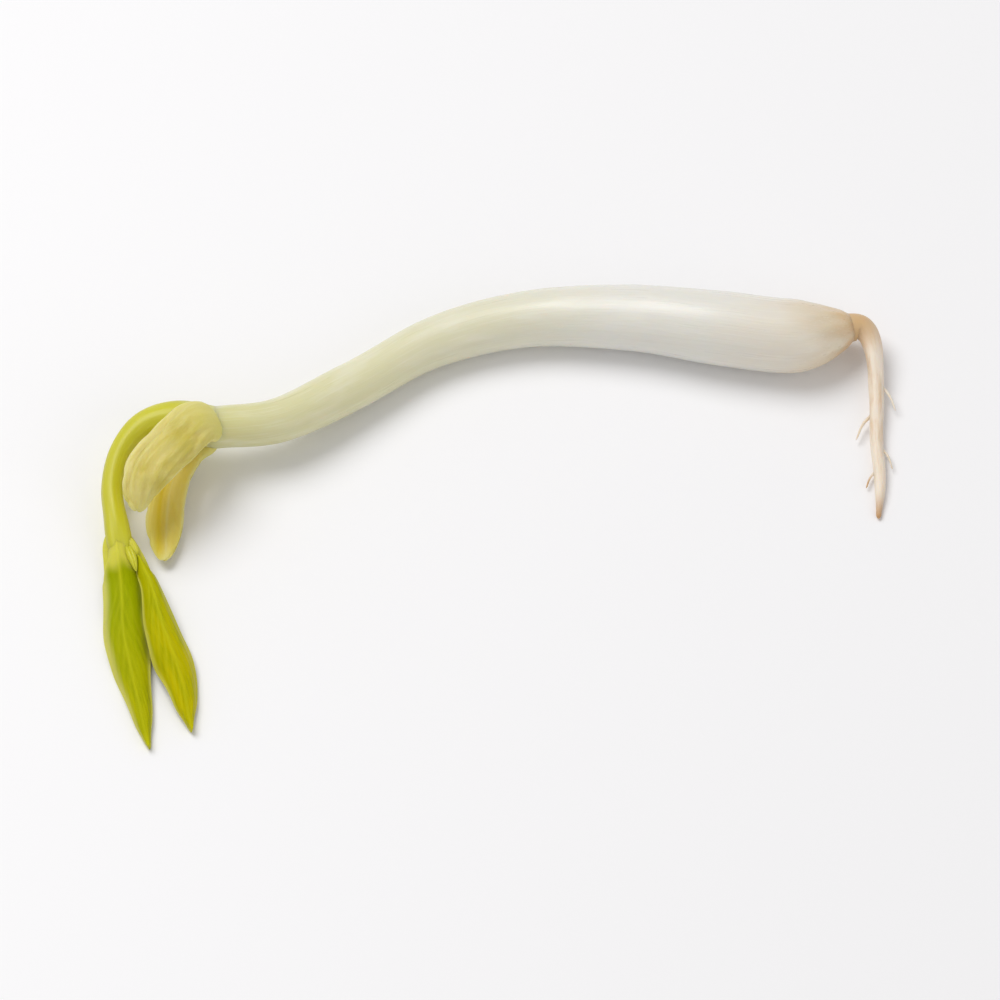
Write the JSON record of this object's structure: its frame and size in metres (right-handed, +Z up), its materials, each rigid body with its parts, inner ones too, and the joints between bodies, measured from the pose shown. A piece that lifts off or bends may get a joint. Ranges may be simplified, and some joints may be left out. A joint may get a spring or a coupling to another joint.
{
  "type": "mung bean sprout",
  "caption": "Bean sprout lying on its side: thick pale stem, thin root with rootlets, hooked green shoot, shrivelled seed leaves and narrow first leaves.",
  "frame": {"origin": "middle of the part's bounding box, on the surface it lies on", "axes": "+Z up from the surface; +X from the leaves to the root; the root and the leaf tips point to -Y"},
  "size_m": [0.0416, 0.0278, 0.0049],
  "materials": {
    "stem_flesh": "moist, waxy, faintly translucent plant tissue",
    "root_skin": "dry, papery root skin",
    "shoot_skin": "smooth, moist plant tissue",
    "seed_leaf": "soft, wrinkled plant tissue",
    "leaf_blade": "tender leaf with a soft sheen"
  },
  "bodies": {
    "root": {"hypocotyl": "stem_flesh", "radicle": "root_skin", "epicotyl": "shoot_skin", "cotyledon_upper": "seed_leaf", "cotyledon_lower": "seed_leaf", "leaf_left": "leaf_blade", "leaf_right": "leaf_blade", "terminal_bud": "shoot_skin"}
  },
  "joints": []
}
